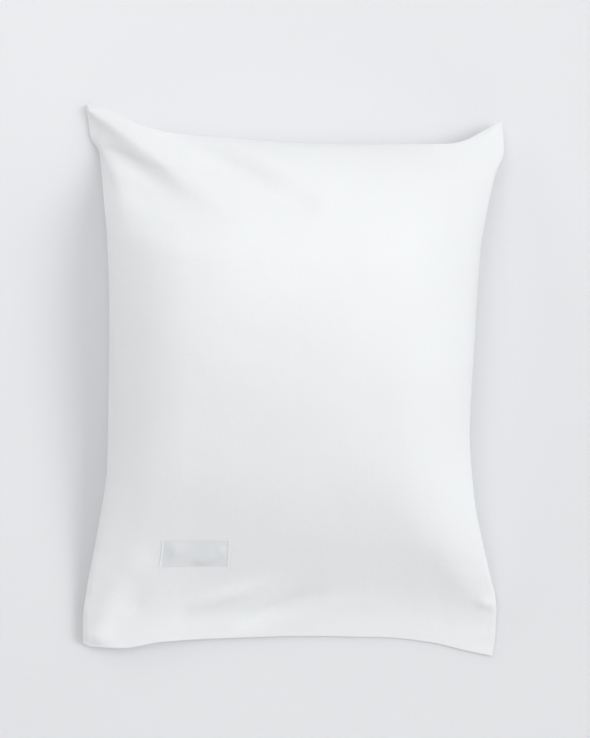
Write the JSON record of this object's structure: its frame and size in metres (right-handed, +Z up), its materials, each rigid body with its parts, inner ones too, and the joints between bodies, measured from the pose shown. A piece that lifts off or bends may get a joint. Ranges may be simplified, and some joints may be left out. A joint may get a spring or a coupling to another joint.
{
  "type": "pillowcase",
  "caption": "Plain cotton pillowcase filled with its pillow, lying on its back, with a crown, drawn-in sides, soft corner ears and a small bare label near the mouth.",
  "frame": {"origin": "middle of the part's box, on the surface that the pillow lies on", "axes": "+Y from the mouth, the open short end, to the closed short end; +X to the right, seen from above with the mouth at the bottom; +Z up"},
  "size_m": [0.4992, 0.6575, 0.1681],
  "materials": {
    "case_cotton": "satin",
    "label_tape": "satin"
  },
  "bodies": {
    "root": {"pillowcase": "case_cotton", "label": "label_tape"}
  },
  "joints": []
}
